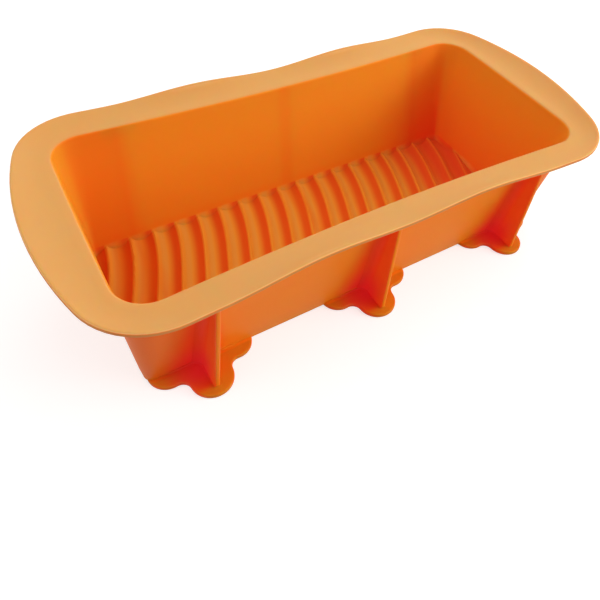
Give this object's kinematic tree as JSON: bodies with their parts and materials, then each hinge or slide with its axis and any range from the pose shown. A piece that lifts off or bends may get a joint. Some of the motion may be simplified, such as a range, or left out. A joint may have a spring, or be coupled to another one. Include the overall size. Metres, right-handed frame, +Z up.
{
  "type": "silicone loaf pan",
  "caption": "Flexible one-piece loaf pan with a drafted tub, a fluted floor, a broad waved rim and side buttress fins that stand on trefoil feet.",
  "frame": {"origin": "middle of the flat underside that the pan rests on", "axes": "+X along the pan, +Y from the front long side to the back one, +Z up out of the mouth"},
  "size_m": [0.2824, 0.1368, 0.0712],
  "materials": {
    "silicone": "satin moulded silicone rubber, slightly translucent"
  },
  "bodies": {
    "root": {"rim_flange": "silicone", "long_wall_front": "silicone", "long_wall_back": "silicone", "end_wall_left": "silicone", "end_wall_right": "silicone", "fluted_floor": "silicone", "fin_front_left": "silicone", "fin_front_middle": "silicone", "fin_front_right": "silicone", "fin_back_left": "silicone", "fin_back_middle": "silicone", "fin_back_right": "silicone", "foot_front_left": "silicone", "foot_front_middle": "silicone", "foot_front_right": "silicone", "foot_back_left": "silicone", "foot_back_middle": "silicone", "foot_back_right": "silicone"}
  },
  "joints": []
}
